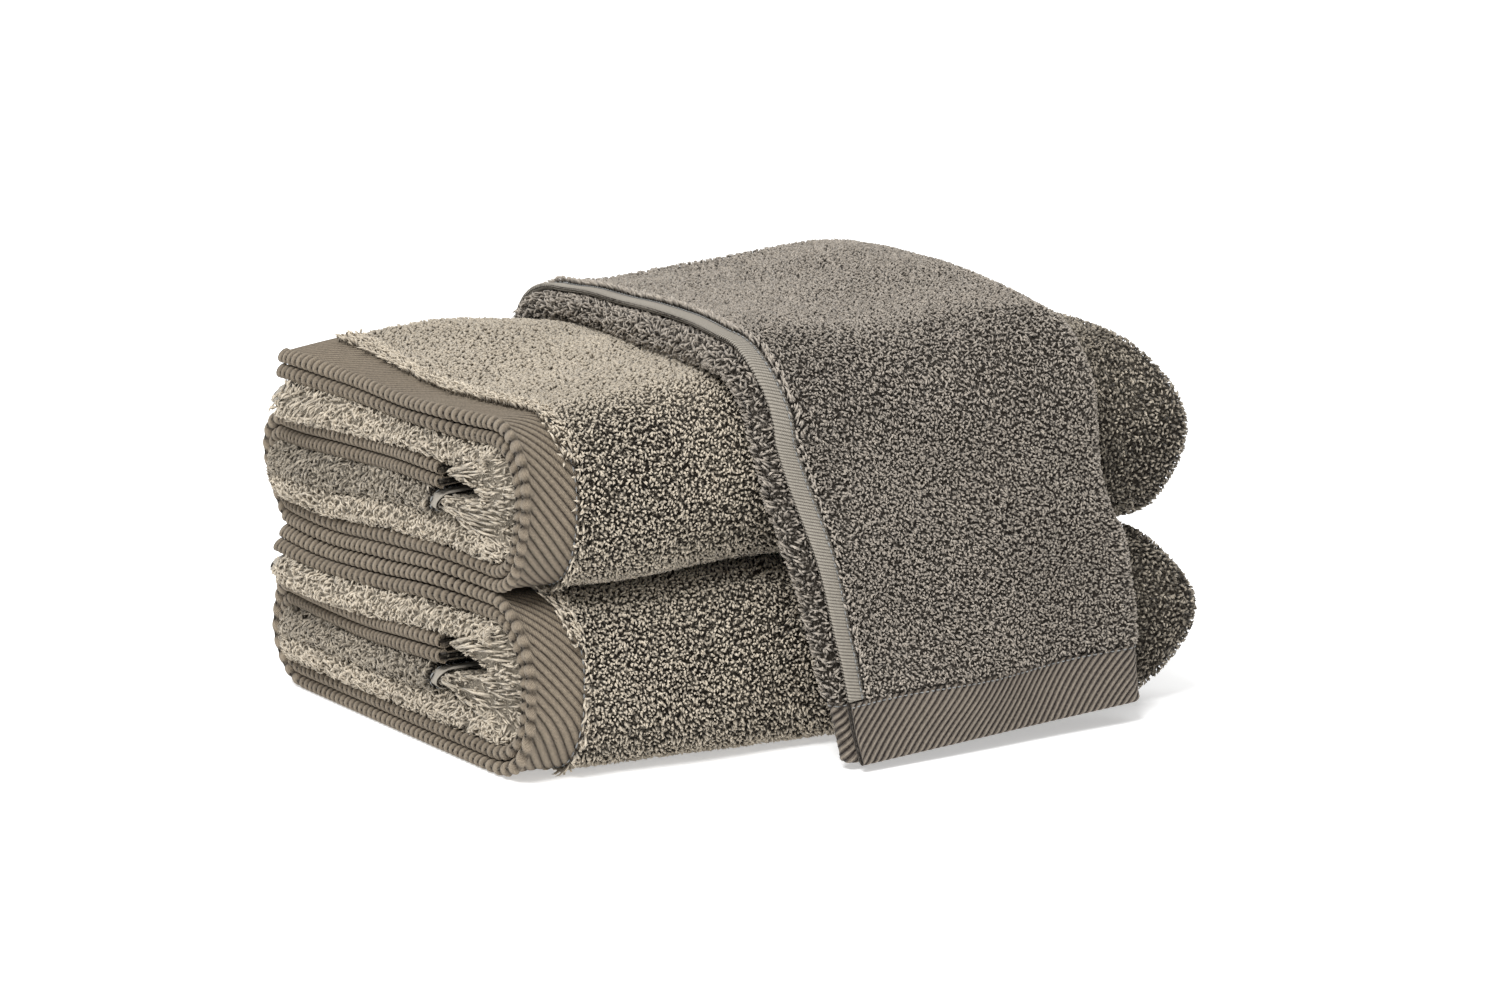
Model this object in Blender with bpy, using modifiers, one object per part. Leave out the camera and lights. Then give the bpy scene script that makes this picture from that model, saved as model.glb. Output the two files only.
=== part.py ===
"""Bath towel set: two folded bath towels in a stack and a hand towel draped over them.

Each towel is one cloth made of zones: the terry field, two twill end hems, two narrow
side hems, and the seam threads that hold the hems. A zone is a patch of the folded cloth,
given by how far it runs along the towel and across it, and thickened with Solidify.

A folded cloth is two plane routes. The profile route runs in X and N, where N is the
height above the middle of the folded band. The path route runs in Y and Z and carries
that band: round and round in a bath towel, over the stack in the hand towel.
Units are metres, +Z is up, and the origin is the middle of the footprint.
"""

import math

import bpy
from mathutils import Vector

# Driving dimensions: the flat towels
BATH_LENGTH = 1.40
BATH_WIDTH = 0.70
HAND_LENGTH = 0.71
HAND_WIDTH = 0.52
TERRY_THICKNESS = 0.0058
END_HEM_DEPTH = 0.028
END_HEM_THICKNESS = 0.0034
SIDE_HEM_WIDTH = 0.009
SIDE_HEM_THICKNESS = 0.0030
SEAM_WIDTH = 0.0008
SEAM_THICKNESS = 0.0006
SEAM_INSET = 0.0012

# How they are folded and stacked
LAYER_AIR = 0.0013
TOP_EDGE_SETBACK = 0.025
INNER_END_CLEARANCE = 0.002
FOLD_SETBACK = 0.0005
FRONT_SQUARENESS = 2.3
HEM_END_SINK = 0.07
HEM_END_SINK_LENGTH = 0.12
RIGHT_END_PULL = 0.020
RIGHT_END_PULL_LENGTH = 0.11

# How the hand towel lies over the stack
DRAPE_AIR = 0.0009
DRAPE_LEFT = 0.138
DRAPE_HEM_INSET = -0.001
DRAPE_INNER_RADIUS = 0.026
DRAPE_STACK_CLEARANCE = 0.0012
DRAPE_FRONT_LIFT = 0.003
DRAPE_FLOOR_CLEARANCE = 0.0005
DRAPE_FLOOR_RADIUS = 0.024
DRAPE_LEAN = -0.0045
DRAPE_TAPER = 0.045
DRAPE_SKEW = (0.0, 0.007, 0.018, 0.029, 0.035, 0.0)
DRAPE_FLARE_LEFT = 0.030
DRAPE_FLARE_RIGHT = 0.010

# Fits between pieces
PIECE_GAP = 0.0005
SEAM_RISE = 0.0006
SHORTEST_ROW = 0.00002
RIM_ROW = 0.0002
TURN_STEP = math.radians(30.0)
MITRE = 1.0 / math.cos(TURN_STEP / 2)

# Colours, linear RGB, and roughness
TERRY = ((0.23, 0.205, 0.17), 0.95)
TWILL = ((0.25, 0.205, 0.16), 0.85)
HAND_TWILL = ((0.12, 0.10, 0.085), 0.85)
SIDE_TWILL = ((0.31, 0.285, 0.25), 0.85)
THREAD = ((0.29, 0.29, 0.27), 0.7)


class Route:
    """A plane curve of straight runs and round turns, read by the distance along it."""

    def __init__(self, start, heading):
        self.pieces = []
        self.length = 0.0
        self.point = Vector(start)
        self.heading = heading

    def run(self, length, marks=()):
        """A straight run. marks are the distances along it where a surface needs a row."""
        marks = [0.0, *marks, length]
        self.pieces.append((self.length, marks, self.point.copy(), self.heading, 0.0))
        self.point += length * Vector((math.cos(self.heading), math.sin(self.heading)))
        self.length += length

    def turn(self, radius, angle):
        """A round turn. A positive angle turns left, towards the side that side_of points to."""
        curve = math.copysign(1.0 / radius, angle)
        length = radius * abs(angle)
        steps = max(2, round(abs(angle) / TURN_STEP))
        marks = [length * step / steps for step in range(steps + 1)]
        self.pieces.append((self.length, marks, self.point.copy(), self.heading, curve))
        centre = self.point + self.side_of(self.heading) / curve
        self.heading += angle
        self.point = centre - self.side_of(self.heading) / curve
        self.length += length

    @staticmethod
    def side_of(heading):
        return Vector((-math.sin(heading), math.cos(heading)))

    def at(self, distance, offset=0.0):
        """The point at a distance along the route, moved by offset to the route's left."""
        piece = next(p for p in reversed(self.pieces) if distance >= p[0] - 1e-9 or p[0] == 0)
        start, _, point, heading, curve = piece
        along = distance - start
        if curve == 0.0:
            moved = point + along * Vector((math.cos(heading), math.sin(heading)))
            return moved + offset * self.side_of(heading)
        turned = heading + along * curve
        centre = point + self.side_of(heading) / curve
        return centre + (offset - 1.0 / curve) * self.side_of(turned)

    def bends_at(self, distance):
        return any(
            start < distance < start + marks[-1] and curve != 0.0
            for start, marks, _, _, curve in self.pieces
        )

    def stations(self, first, last, also=()):
        """The distances at which a surface from first to last needs a row of points.

        Where the route bends, an end gets a second row close by, so that it stays square to
        its neighbour, and the distances in also get rows, so that what lies on it fits.
        """
        extra = [*also, first + RIM_ROW, last - RIM_ROW]
        marks = [start + mark for start, marks, _, _, _ in self.pieces for mark in marks]
        marks += [mark for mark in extra if self.bends_at(mark)]
        inside = [mark for mark in marks if first + SHORTEST_ROW < mark < last - SHORTEST_ROW]
        rows = sorted({first, last, *inside})
        return [row for i, row in enumerate(rows) if i == 0 or row - rows[i - 1] > SHORTEST_ROW]


class Cloth:
    """A folded cloth, read at a distance a along its profile and s along its path."""

    def __init__(self, prefix, profile, path, settle):
        self.prefix = prefix
        self.profile = profile
        self.path = path
        self.settle = settle

    def point(self, a, s):
        x, height = self.profile.at(a)
        y, z = self.path.at(s, height)
        return self.settle(Vector((x, y, z)), s)

    def zone(self, name, a_span, s_span, thickness, finish, lift=0.0, also=()):
        """One closed solid: the cloth's middle surface over the two spans, thickened evenly.

        lift moves the solid's own middle off the cloth's middle, towards its outer face.
        also lists further distances that get a row of points.
        """
        rows = self.profile.stations(*a_span, also)
        columns = self.path.stations(*s_span, also)
        points = [self.point(a, s) for a in rows for s in columns]
        wide = len(columns)
        faces = [
            (i * wide + j, (i + 1) * wide + j, (i + 1) * wide + j + 1, i * wide + j + 1)
            for i in range(len(rows) - 1)
            for j in range(wide - 1)
        ]
        mesh = bpy.data.meshes.new(f"{self.prefix}_{name}")
        mesh.from_pydata(points, [], faces)
        mesh.shade_smooth()
        mesh.set_sharp_from_angle(angle=math.radians(50.0))
        mesh.materials.append(finish)
        piece = bpy.data.objects.new(mesh.name, mesh)
        parts_collection.objects.link(piece)
        shell = piece.modifiers.new("Cloth thickness", "SOLIDIFY")
        shell.thickness = thickness
        shell.offset = 2.0 * lift / thickness
        shell.use_even_offset = True


def smooth_step(value):
    value = min(1.0, max(0.0, value))
    return value * value * (3.0 - 2.0 * value)


def new_material(name, colour, roughness):
    material = bpy.data.materials.new(name)
    material.use_nodes = True
    shader = material.node_tree.nodes["Principled BSDF"]
    shader.inputs["Base Color"].default_value = (*colour, 1.0)
    shader.inputs["Roughness"].default_value = roughness
    shader.inputs["Metallic"].default_value = 0.0
    return material


# The folded bath towel, worked out from its flat size
PITCH = TERRY_THICKNESS + LAYER_AIR
BAND = 4 * PITCH
STACK_STEP = 3 * BAND
FOLD_X = PITCH / 2 + MITRE * TERRY_THICKNESS / 2 + FOLD_SETBACK
TURN_X = (BATH_LENGTH + 2 * FOLD_X - 2.5 * math.pi * PITCH) / 4
STACK_LENGTH = TURN_X + 1.5 * PITCH + TERRY_THICKNESS / 2
FRONT_CENTRE = 1.5 * BAND
INNER_END_Y = FRONT_CENTRE + INNER_END_CLEARANCE
ROUND_LENGTH = math.pi * (BAND / 2 + BAND)
STACK_DEPTH = (BATH_WIDTH - ROUND_LENGTH + INNER_END_Y + TOP_EDGE_SETBACK + 5 * BAND) / 3
INNER_RUN = STACK_DEPTH - BAND - INNER_END_Y
BOTTOM_RUN = STACK_DEPTH - BAND - FRONT_CENTRE
STACK_TOP = 2 * STACK_STEP - LAYER_AIR

# The draped hand towel, worked out from its flat size and from the stack
DRAPE_PITCH = TERRY_THICKNESS + DRAPE_AIR
DRAPE_MIDDLE = DRAPE_STACK_CLEARANCE + TERRY_THICKNESS / 2 + DRAPE_PITCH
DRAPE_FOLD_X = DRAPE_LEFT + DRAPE_PITCH / 2 + MITRE * TERRY_THICKNESS / 2
DRAPE_PANEL = (HAND_WIDTH + DRAPE_HEM_INSET + INNER_END_CLEARANCE - 1.5 * math.pi * DRAPE_PITCH) / 3
DRAPE_TURN_X = DRAPE_FOLD_X + DRAPE_PANEL
DRAPE_FRONT_Y = -DRAPE_MIDDLE
DRAPE_BACK_Y = STACK_DEPTH + DRAPE_MIDDLE
DRAPE_TOP_Z = STACK_TOP + DRAPE_MIDDLE
DRAPE_TAIL_Z = DRAPE_FLOOR_CLEARANCE + TERRY_THICKNESS / 2 + DRAPE_PITCH
DRAPE_RADIUS = DRAPE_INNER_RADIUS + DRAPE_MIDDLE
DRAPE_FRONT_HANG = DRAPE_TOP_Z - DRAPE_RADIUS - DRAPE_FRONT_LIFT


def bath_profile():
    """Four layers along X: both hemmed ends and the middle of the towel lie at the left."""
    thirds = [TURN_X - RIGHT_END_PULL_LENGTH * share / 3 for share in (3, 2, 1)]
    bends = [HEM_END_SINK_LENGTH, *thirds]
    rightward = [x - FOLD_X for x in bends]
    leftward = [TURN_X - x for x in reversed(bends)]
    route = Route((0.0, 1.5 * PITCH), 0.0)
    route.run(TURN_X, bends)
    route.turn(1.5 * PITCH, -math.pi)
    route.run(TURN_X - FOLD_X, leftward)
    route.turn(0.5 * PITCH, -math.pi)
    route.run(TURN_X - FOLD_X, rightward)
    route.turn(0.5 * PITCH, math.pi)
    route.run(TURN_X, leftward)
    return route


def bath_path():
    """The band rolled flat, from its inner end: back, down and forward underneath, up the
    front, and back over the top."""
    route = Route((INNER_END_Y, 1.5 * BAND), 0.0)
    route.run(INNER_RUN)
    route.turn(BAND / 2, -math.pi)
    route.run(BOTTOM_RUN)
    route.turn(BAND, -math.pi)
    route.run(STACK_DEPTH - TOP_EDGE_SETBACK - FRONT_CENTRE)
    return route


def end_pull(s):
    """How far the right end draws back: not at the inner panel and the middle of the front
    bend, and fully at the top and bottom panels."""
    back = (s - INNER_RUN) / (math.pi * BAND / 2)
    front = (s - INNER_RUN - math.pi * BAND / 2 - BOTTOM_RUN) / (math.pi * BAND)
    if back < 1.0:
        share = (1.0 - math.cos(math.pi * max(0.0, back))) / 2
    else:
        share = math.cos(math.pi * min(1.0, max(0.0, front))) ** 2
    return RIGHT_END_PULL * share


def settle_bath(base):
    """How a folded towel settles: squarer front, thinner hemmed end and a round right end."""
    floor = TERRY_THICKNESS / 2
    radius = FRONT_CENTRE

    def settle(point, s):
        x, y, z = point
        if y < radius:
            reach = Vector((y - radius, z - radius))
            if reach.length > 1e-9:
                unit = reach.normalized()
                power = sum(abs(share) ** FRONT_SQUARENESS for share in unit)
                reach *= power ** (-1.0 / FRONT_SQUARENESS)
            y = radius + reach.x
            z = radius + reach.y
        end = smooth_step((x - (TURN_X - RIGHT_END_PULL_LENGTH)) / RIGHT_END_PULL_LENGTH)
        x -= end_pull(s) * end
        rise = z + base - LAYER_AIR / 2 - floor
        sunk = 1.0 - HEM_END_SINK * max(0.0, 1.0 - x / HEM_END_SINK_LENGTH)
        return Vector((x - ORIGIN_X, y - ORIGIN_Y, floor + rise * sunk))

    return settle


def drape_profile():
    """Three layers across X: the top one ends in a side hem, short of the fold under it."""
    route = Route((DRAPE_FOLD_X + DRAPE_HEM_INSET, DRAPE_PITCH), 0.0)
    route.run(DRAPE_PANEL - DRAPE_HEM_INSET)
    route.turn(DRAPE_PITCH, -math.pi)
    route.run(DRAPE_PANEL)
    route.turn(0.5 * DRAPE_PITCH, -math.pi)
    route.run(DRAPE_PANEL - INNER_END_CLEARANCE)
    return route


def drape_path():
    """Up the front of the stack, over it, down the back and out along the floor."""
    route = Route((DRAPE_FRONT_Y, DRAPE_FRONT_LIFT), math.pi / 2)
    route.run(DRAPE_FRONT_HANG, [DRAPE_FRONT_HANG / 3, DRAPE_FRONT_HANG * 2 / 3])
    route.turn(DRAPE_RADIUS, -math.pi / 2)
    route.run(DRAPE_BACK_Y - DRAPE_FRONT_Y - 2 * DRAPE_RADIUS)
    route.turn(DRAPE_RADIUS, -math.pi / 2)
    route.run(DRAPE_TOP_Z - DRAPE_RADIUS - DRAPE_FLOOR_RADIUS - DRAPE_TAIL_Z)
    route.turn(DRAPE_FLOOR_RADIUS, math.pi / 2)
    route.run(HAND_LENGTH)
    return route


def front_flare(x):
    """How far the bottom of the front end stands off the stack: most at its left."""
    share = (x - DRAPE_LEFT) / (DRAPE_PANEL + DRAPE_FOLD_X - DRAPE_LEFT)
    return DRAPE_FLARE_LEFT + (DRAPE_FLARE_RIGHT - DRAPE_FLARE_LEFT) * share


def drape_skew(s):
    """How far left it lies, changing evenly from one place along the path to the next:
    the floor, a third and two thirds up the front, its top, past the front bend, the back."""
    bend = DRAPE_RADIUS * math.pi / 2
    top = DRAPE_BACK_Y - DRAPE_FRONT_Y - 2 * DRAPE_RADIUS
    steps = (DRAPE_FRONT_HANG / 3, DRAPE_FRONT_HANG / 3, DRAPE_FRONT_HANG / 3, bend, top)
    for step, before, after in zip(steps, DRAPE_SKEW, DRAPE_SKEW[1:]):
        if s <= step:
            return before + (after - before) * s / step
        s -= step
    return DRAPE_SKEW[-1]


def settle_drape(point, s):
    """The front end hangs to the left, a little narrower than the top, and stands off."""
    fall = max(0.0, 1.0 - s / DRAPE_FRONT_HANG)
    middle = DRAPE_FOLD_X + DRAPE_PANEL / 2
    x = middle + (point.x - middle) * (1.0 - DRAPE_TAPER * fall) + DRAPE_LEAN * fall
    x -= drape_skew(s)
    y = point.y - front_flare(point.x) * fall
    return Vector((x - ORIGIN_X, y - ORIGIN_Y, point.z))


def hemmed_towel(cloth, end_axis, size, end_names, side_names, end_finish, side_face):
    """Every zone of one towel.

    end_axis says which route the hemmed ends lie along: "profile" when the towel's length
    is folded along X, "path" when its length runs along the path. side_face is 1 when the
    side seams lie on the cloth's outer face and -1 when they lie on its inner one.
    """
    length, width = size
    spans = {
        "ends": [(0.0, END_HEM_DEPTH), (length - END_HEM_DEPTH, length)],
        "sides": [(0.0, SIDE_HEM_WIDTH), (width - SIDE_HEM_WIDTH, width)],
    }
    inner_length = (END_HEM_DEPTH + PIECE_GAP, length - END_HEM_DEPTH - PIECE_GAP)
    inner_width = (SIDE_HEM_WIDTH + PIECE_GAP, width - SIDE_HEM_WIDTH - PIECE_GAP)

    def add(name, along, across, thickness, finish, lift=0.0, also=()):
        a_span, s_span = (along, across) if end_axis == "profile" else (across, along)
        cloth.zone(name, a_span, s_span, thickness, finish, lift, also)

    def seam(span, inner_edge):
        """A thread row near a hem's inner edge."""
        if inner_edge == "high":
            return (span[1] - SEAM_INSET - SEAM_WIDTH, span[1] - SEAM_INSET)
        return (span[0] + SEAM_INSET, span[0] + SEAM_INSET + SEAM_WIDTH)

    add("terry", inner_length, inner_width, TERRY_THICKNESS, terry_finish)
    for name, span, edge in zip(end_names, spans["ends"], ("high", "low")):
        row = seam(span, edge)
        add(f"{name}_end_hem", span, (0.0, width), END_HEM_THICKNESS, end_finish, also=row)
        lift = END_HEM_THICKNESS / 2 + SEAM_RISE + SEAM_THICKNESS / 2
        add(f"{name}_end_seam", row, (0.0, width), SEAM_THICKNESS, thread_finish, lift)
    for name, span, edge in zip(side_names, spans["sides"], ("high", "low")):
        row = seam(span, edge)
        add(f"{name}_side_hem", inner_length, span, SIDE_HEM_THICKNESS, side_finish, also=row)
        lift = side_face * (SIDE_HEM_THICKNESS / 2 + SEAM_RISE + SEAM_THICKNESS / 2)
        add(f"{name}_side_seam", inner_length, row, SEAM_THICKNESS, thread_finish, lift)


for old in list(bpy.data.objects):
    bpy.data.objects.remove(old)

parts_collection = bpy.data.collections.new("bath_towel_set")
bpy.context.scene.collection.children.link(parts_collection)

terry_finish = new_material("taupe_terry", *TERRY)
twill_finish = new_material("taupe_twill", *TWILL)
hand_twill_finish = new_material("dark_twill", *HAND_TWILL)
side_finish = new_material("pale_side_twill", *SIDE_TWILL)
thread_finish = new_material("seam_thread", *THREAD)

drape_route = drape_path()
top_layer_flare = front_flare(DRAPE_FOLD_X + DRAPE_HEM_INSET)
FRONT_MOST = DRAPE_FRONT_Y - DRAPE_PITCH - END_HEM_THICKNESS / 2 - top_layer_flare
BACK_MOST = max(
    drape_route.at(HAND_LENGTH).x, DRAPE_BACK_Y + DRAPE_PITCH + TERRY_THICKNESS / 2
)
ORIGIN_X = STACK_LENGTH / 2
ORIGIN_Y = (FRONT_MOST + BACK_MOST) / 2

bath_size = (BATH_LENGTH, BATH_WIDTH)
bath_ends = ("outer", "inner")
bath_sides = ("inner", "outer")
for prefix, base in (("lower", 0.0), ("upper", STACK_STEP)):
    towel = Cloth(prefix, bath_profile(), bath_path(), settle_bath(base))
    hemmed_towel(towel, "profile", bath_size, bath_ends, bath_sides, twill_finish, -1)

hand_size = (HAND_LENGTH, HAND_WIDTH)
hand_ends = ("front", "back")
hand_sides = ("top", "hidden")
draped = Cloth("draped", drape_profile(), drape_route, settle_drape)
hemmed_towel(draped, "path", hand_size, hand_ends, hand_sides, hand_twill_finish, 1)
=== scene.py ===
import math

import bpy
import numpy as np
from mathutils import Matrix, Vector


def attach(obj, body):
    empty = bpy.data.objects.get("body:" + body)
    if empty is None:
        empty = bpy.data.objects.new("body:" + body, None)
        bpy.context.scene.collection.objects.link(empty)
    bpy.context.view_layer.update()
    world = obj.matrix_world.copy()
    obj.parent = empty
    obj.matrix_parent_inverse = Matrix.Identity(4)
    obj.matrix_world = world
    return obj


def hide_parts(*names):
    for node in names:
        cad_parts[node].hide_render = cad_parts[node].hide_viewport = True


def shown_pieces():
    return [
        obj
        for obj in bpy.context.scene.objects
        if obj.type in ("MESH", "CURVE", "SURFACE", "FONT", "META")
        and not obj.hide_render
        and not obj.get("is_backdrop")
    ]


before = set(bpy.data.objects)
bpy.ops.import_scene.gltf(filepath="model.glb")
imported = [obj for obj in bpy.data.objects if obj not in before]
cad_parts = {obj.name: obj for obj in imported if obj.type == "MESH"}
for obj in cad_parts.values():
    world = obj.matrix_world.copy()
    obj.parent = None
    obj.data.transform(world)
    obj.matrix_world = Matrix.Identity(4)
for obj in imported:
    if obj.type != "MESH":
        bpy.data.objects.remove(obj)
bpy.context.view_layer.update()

scene = bpy.context.scene

# camera, floor and light: yaw and pitch turn the camera, lookAt is the point it faces
studio = {
    "yaw": math.radians(30.2),
    "pitch": math.radians(10.5),
    "distance": 2.3,
    "lens": 117.1,
    "sensor": 36.0,
    "clipStart": 0.05,
    "lookAt": (0.0089, -0.0483, 0.0906),
    "keyFrom": (-0.75, -0.55, 1.25),
    "keySpread": math.radians(24),
    "keyStrength": 2.7,
    "topFrom": (0.15, 0.35, 1.0),
    "topSpread": math.radians(60),
    "topStrength": 1.0,
    "skyLight": 0.45,
    "wallGlow": 1.05,
    "floorHalf": 6.0,
    "floorZ": -0.0004,
    "floorTone": 0.9,
    "floorRoughness": 0.8,
    "floorGlow": 0.42,
}

print("camera and studio")
look = Vector((
    math.sin(studio["yaw"]) * math.cos(studio["pitch"]),
    math.cos(studio["yaw"]) * math.cos(studio["pitch"]),
    -math.sin(studio["pitch"]),
))
cameraData = bpy.data.cameras.new("studioCamera")
camera = bpy.data.objects.new("studioCamera", cameraData)
scene.collection.objects.link(camera)
cameraData.lens = studio["lens"]
cameraData.sensor_width = studio["sensor"]
cameraData.clip_start = studio["clipStart"]
camera.location = Vector(studio["lookAt"]) - look * studio["distance"]
camera.rotation_mode = "QUATERNION"
camera.rotation_quaternion = look.to_track_quat("-Z", "Y")
scene.camera = camera
scene.view_settings.view_transform = "Standard"


def addWideLight(name, source, spread, strength):
    # a far, wide light: the same on the whole floor
    lamp = bpy.data.lights.new(name, "SUN")
    lamp.angle = spread
    lamp.energy = strength
    light = bpy.data.objects.new(name, lamp)
    light.location = source
    light.rotation_mode = "QUATERNION"
    light.rotation_quaternion = (-Vector(source)).to_track_quat("-Z", "Y")
    scene.collection.objects.link(light)


addWideLight("keyLight", studio["keyFrom"], studio["keySpread"], studio["keyStrength"])
addWideLight("topLight", studio["topFrom"], studio["topSpread"], studio["topStrength"])

world = bpy.data.worlds.new("paleStudio")
scene.world = world
world.use_nodes = True
worldNodes = world.node_tree.nodes
worldLinks = world.node_tree.links
sky = worldNodes["Background"]
wall = worldNodes.new("ShaderNodeBackground")
for glow, strength in ((sky, studio["skyLight"]), (wall, studio["wallGlow"])):
    glow.inputs["Color"].default_value = (1.0, 1.0, 1.0, 1.0)
    glow.inputs["Strength"].default_value = strength
rayKind = worldNodes.new("ShaderNodeLightPath")
pick = worldNodes.new("ShaderNodeMixShader")
worldLinks.new(rayKind.outputs["Is Camera Ray"], pick.inputs[0])
worldLinks.new(sky.outputs[0], pick.inputs[1])
worldLinks.new(wall.outputs[0], pick.inputs[2])
worldLinks.new(pick.outputs[0], worldNodes["World Output"].inputs["Surface"])


def smooth(value):
    # eases from 0 to 1 with a level start and end
    value = np.clip(value, 0.0, 1.0)
    return value * value * (3.0 - 2.0 * value)


def buildMesh(name, points, faceSets, material, body=None, shade=None, flatUv=None):
    # one mesh from an array of points and arrays of faces, each array with one corner count;
    # a closed mesh that encloses a negative volume is turned outside out
    points = np.ascontiguousarray(points, dtype=np.float64).reshape(-1, 3)
    volume = 0.0
    for faces in faceSets:
        corners = points[faces]
        for k in range(1, faces.shape[1] - 1):
            crossed = np.cross(corners[:, k], corners[:, k + 1])
            volume += float((corners[:, 0] * crossed).sum())
    if volume < 0.0:
        faceSets = [faces[:, ::-1] for faces in faceSets]
    order = np.concatenate([faces.ravel() for faces in faceSets]).astype(np.int32)
    counts = np.concatenate([np.full(len(faces), faces.shape[1]) for faces in faceSets])
    starts = np.concatenate([[0], np.cumsum(counts)[:-1]]).astype(np.int32)
    mesh = bpy.data.meshes.new(name)
    mesh.vertices.add(len(points))
    mesh.vertices.foreach_set("co", points.astype(np.float32).ravel())
    mesh.loops.add(len(order))
    mesh.loops.foreach_set("vertex_index", order)
    mesh.polygons.add(len(starts))
    mesh.polygons.foreach_set("loop_start", starts)
    mesh.update(calc_edges=True)
    mesh.shade_smooth()
    if shade is not None:
        tone = mesh.attributes.new("tone", "FLOAT", "POINT")
        tone.data.foreach_set("value", shade.astype(np.float32).ravel())
    if flatUv is not None:
        layer = mesh.uv_layers.new(name="clothMap")
        layer.uv.foreach_set("vector", flatUv.reshape(-1, 2)[order].astype(np.float32).ravel())
    mesh.materials.append(material)
    piece = bpy.data.objects.new(name, mesh)
    scene.collection.objects.link(piece)
    if body:
        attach(piece, body)
    return piece


def gridFaces(rows, columns, wrap=False):
    # quads between neighbouring rows and columns; wrap joins the last row to the first
    lines = rows if wrap else rows - 1
    i, j = np.meshgrid(np.arange(lines), np.arange(columns - 1), indexing="ij")
    i, j = i.ravel(), j.ravel()
    after = (i + 1) % rows
    return np.stack([
        i * columns + j, after * columns + j, after * columns + j + 1, i * columns + j + 1
    ], axis=1)


# the drawn patterns: scales are repeats to the metre, and the grain's gap and top are distances
# from a loop's middle, in loops; the gap is where the grain's painted shade is darkest
patterns = {
    "patchScale": 16.0,
    "patchDetail": 3.0,
    "fleckScale": 1100.0,
    "fleckDetail": 1.0,
    "threadBend": 1.2,
    "threadHeight": 0.0003,
    "fuzzScale": 2400.0,
    "fuzzDetail": 2.0,
    "grainBendScale": 420.0,
    "grainBendDetail": 1.0,
    "grainBend": 0.0022,
    "grainGap": 0.62,
    "grainTop": 0.15,
    "grainFill": 0.66,
    "grainHeight": 0.0012,
    "specular": 0.25,
    "sheenRoughness": 0.5,
}
numberKind, colourKind = "NodeSocketFloat", "NodeSocketColor"


def newGroup(name, inputs, outputs):
    # an empty node group with named sockets
    group = bpy.data.node_groups.new(name, "ShaderNodeTree")
    for label, kind, value in inputs:
        socket = group.interface.new_socket(name=label, in_out="INPUT", socket_type=kind)
        socket.default_value = value
    for label, kind in outputs:
        group.interface.new_socket(name=label, in_out="OUTPUT", socket_type=kind)
    start = group.nodes.new("NodeGroupInput")
    end = group.nodes.new("NodeGroupOutput")
    return group, start, end


def addMath(group, operation, first, second, clamp=False):
    # a math node on two values, each a socket or a number
    node = group.nodes.new("ShaderNodeMath")
    node.operation = operation
    node.use_clamp = clamp
    for place, value in zip(node.inputs, (first, second)):
        if isinstance(value, float):
            place.default_value = value
        else:
            group.links.new(value, place)
    return node.outputs[0]


def addNoise(group, scale, detail):
    # noise on the object's own coordinates
    noise = group.nodes.new("ShaderNodeTexNoise")
    place = group.nodes.new("ShaderNodeTexCoord")
    noise.inputs["Scale"].default_value = scale
    noise.inputs["Detail"].default_value = detail
    group.links.new(place.outputs["Object"], noise.inputs["Vector"])
    return noise


def yarnToneGroup():
    # yarn colour from its tone, mottled in soft patches and in single yarns
    group, start, end = newGroup(
        "yarnTone",
        [
            ("Dark", colourKind, (0.05, 0.04, 0.03, 1.0)),
            ("Pale", colourKind, (0.4, 0.35, 0.3, 1.0)),
            ("Tone", numberKind, 0.5),
            ("Patches", numberKind, 0.2),
            ("Flecks", numberKind, 0.2),
        ],
        [("Color", colourKind)],
    )
    nodes, links = group.nodes, group.links

    def centred(scale, detail, amount):
        moved = addMath(group, "SUBTRACT", addNoise(group, scale, detail).outputs["Fac"], 0.5)
        return addMath(group, "MULTIPLY", moved, start.outputs[amount])

    patches = centred(patterns["patchScale"], patterns["patchDetail"], "Patches")
    flecks = centred(patterns["fleckScale"], patterns["fleckDetail"], "Flecks")
    both = addMath(group, "ADD", patches, flecks)
    total = addMath(group, "ADD", both, start.outputs["Tone"], clamp=True)
    mix = nodes.new("ShaderNodeMix")
    mix.data_type = "RGBA"
    links.new(total, mix.inputs["Factor"])
    links.new(start.outputs["Dark"], mix.inputs["A"])
    links.new(start.outputs["Pale"], mix.inputs["B"])
    links.new(mix.outputs["Result"], end.inputs["Color"])
    return group


def threadReliefGroup():
    # fine crossed threads on the cloth map, with a little fuzz
    group, start, end = newGroup(
        "threadRelief",
        [("Thread Scale", numberKind, 700.0)],
        [("Height", numberKind)],
    )
    nodes, links = group.nodes, group.links
    place = nodes.new("ShaderNodeTexCoord")
    threads = nodes.new("ShaderNodeTexWave")
    threads.wave_type = "BANDS"
    threads.bands_direction = "DIAGONAL"
    threads.inputs["Distortion"].default_value = patterns["threadBend"]
    links.new(place.outputs["UV"], threads.inputs["Vector"])
    links.new(start.outputs["Thread Scale"], threads.inputs["Scale"])
    fuzz = addNoise(group, patterns["fuzzScale"], patterns["fuzzDetail"])
    total = addMath(group, "ADD", threads.outputs["Fac"], fuzz.outputs["Fac"])
    links.new(total, end.inputs["Height"])
    return group


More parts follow.
